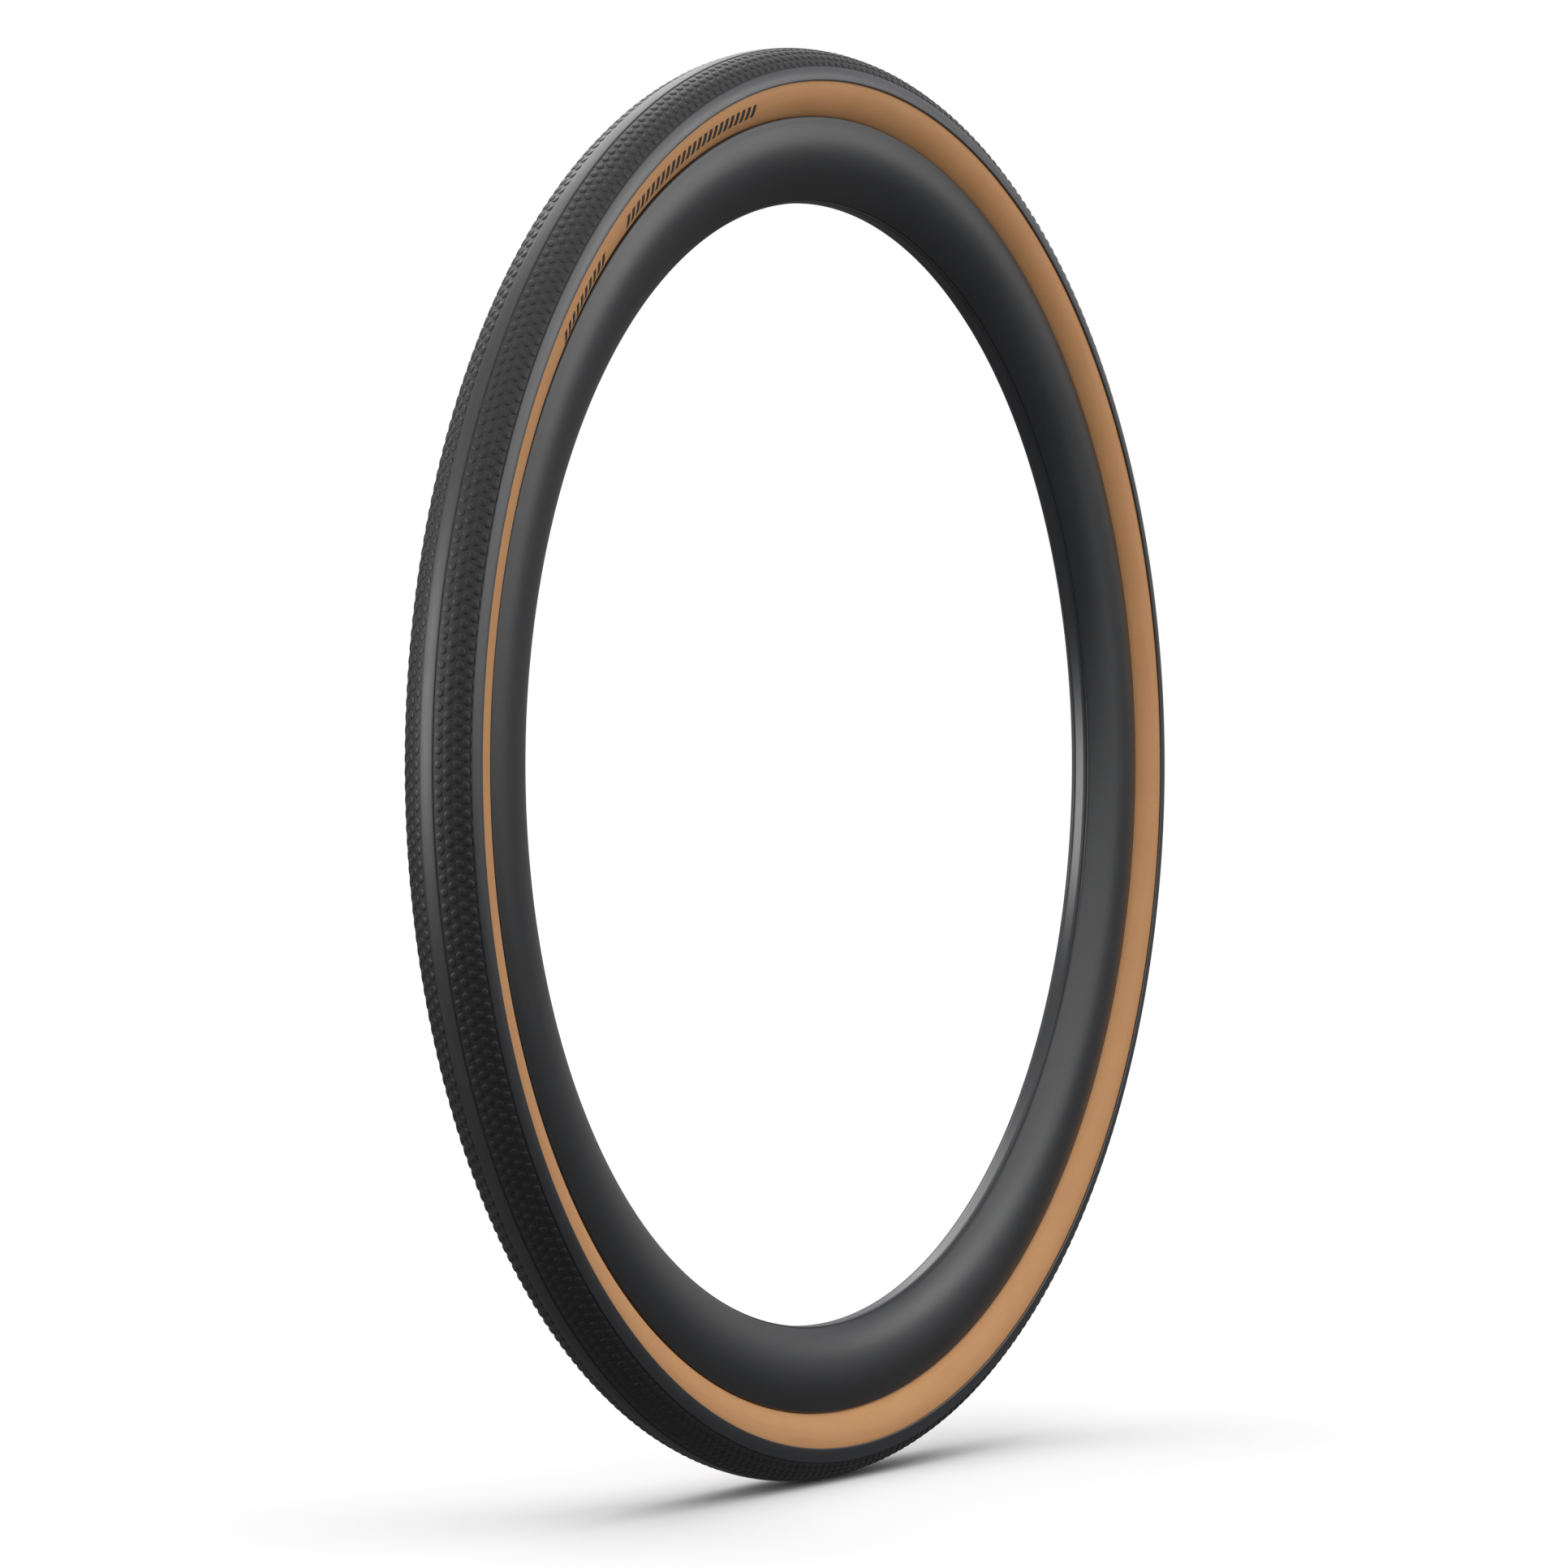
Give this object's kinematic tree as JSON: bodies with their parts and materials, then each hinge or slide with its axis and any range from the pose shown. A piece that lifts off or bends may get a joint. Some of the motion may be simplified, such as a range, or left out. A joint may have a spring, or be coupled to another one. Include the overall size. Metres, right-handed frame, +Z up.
{
  "type": "bicycle tire on a deep rim",
  "caption": "Bicycle tire with knurled tread and tan sidewalls, mounted with its inner tube and valve on a deep hollow rim.",
  "frame": {"origin": "centre of the wheel, on its axle line", "axes": "+Y along the axle line towards the left side, +Z up, valve on the -X side"},
  "size_m": [0.7019, 0.0386, 0.702],
  "materials": {
    "tread_rubber": "matt black tread rubber",
    "edge_rubber": "smooth black tread rubber",
    "tan_skin": "tan rubber-coated cord, matt",
    "breaker_weave": "woven puncture strip",
    "casing_cord": "rubber-coated nylon cord",
    "bead_cord": "aramid cord bundle",
    "filler_rubber": "black rubber",
    "chafer_weave": "black woven strip",
    "butyl": "matt black butyl",
    "tape_film": "nylon tape",
    "rim_laminate": "satin dark grey laminate",
    "brass": "plain brass",
    "seal_rubber": "black rubber"
  },
  "bodies": {
    "wheel": {"tread_centre": "tread_rubber", "tread_side_left": "tread_rubber", "tread_side_right": "tread_rubber", "tread_edge_left": "edge_rubber", "tread_edge_right": "edge_rubber", "sidewall_left": "tan_skin", "sidewall_right": "tan_skin", "breaker": "breaker_weave", "casing_outer_ply": "casing_cord", "casing_inner_ply": "casing_cord", "bead_core_left": "bead_cord", "bead_core_right": "bead_cord", "bead_filler_left": "filler_rubber", "bead_filler_right": "filler_rubber", "chafer_left": "chafer_weave", "chafer_right": "chafer_weave", "inner_tube": "butyl", "valve_patch": "butyl", "rim_tape": "tape_film", "rim": "rim_laminate", "valve_stem": "brass", "valve_core": "brass"},
    "pin": {"valve_pin": "brass", "valve_seal": "seal_rubber"},
    "nut": {"valve_nut": "brass"}
  },
  "joints": [
    {"name": "valve_nut_turn", "type": "hinge", "parent": "wheel", "child": "nut", "pos_m": [-0.2808, 0, 0], "axis": [1, 0, 0], "range_deg": [0, 1080]},
    {"name": "valve_pin_travel", "type": "slide", "parent": "wheel", "child": "pin", "axis": [-1, 0, 0], "range_m": [0, 0.0015]}
  ],
  "couplings": [
    {"joint": "valve_nut_turn", "follows": "valve_pin_travel", "rad_per_m": 12566}
  ]
}
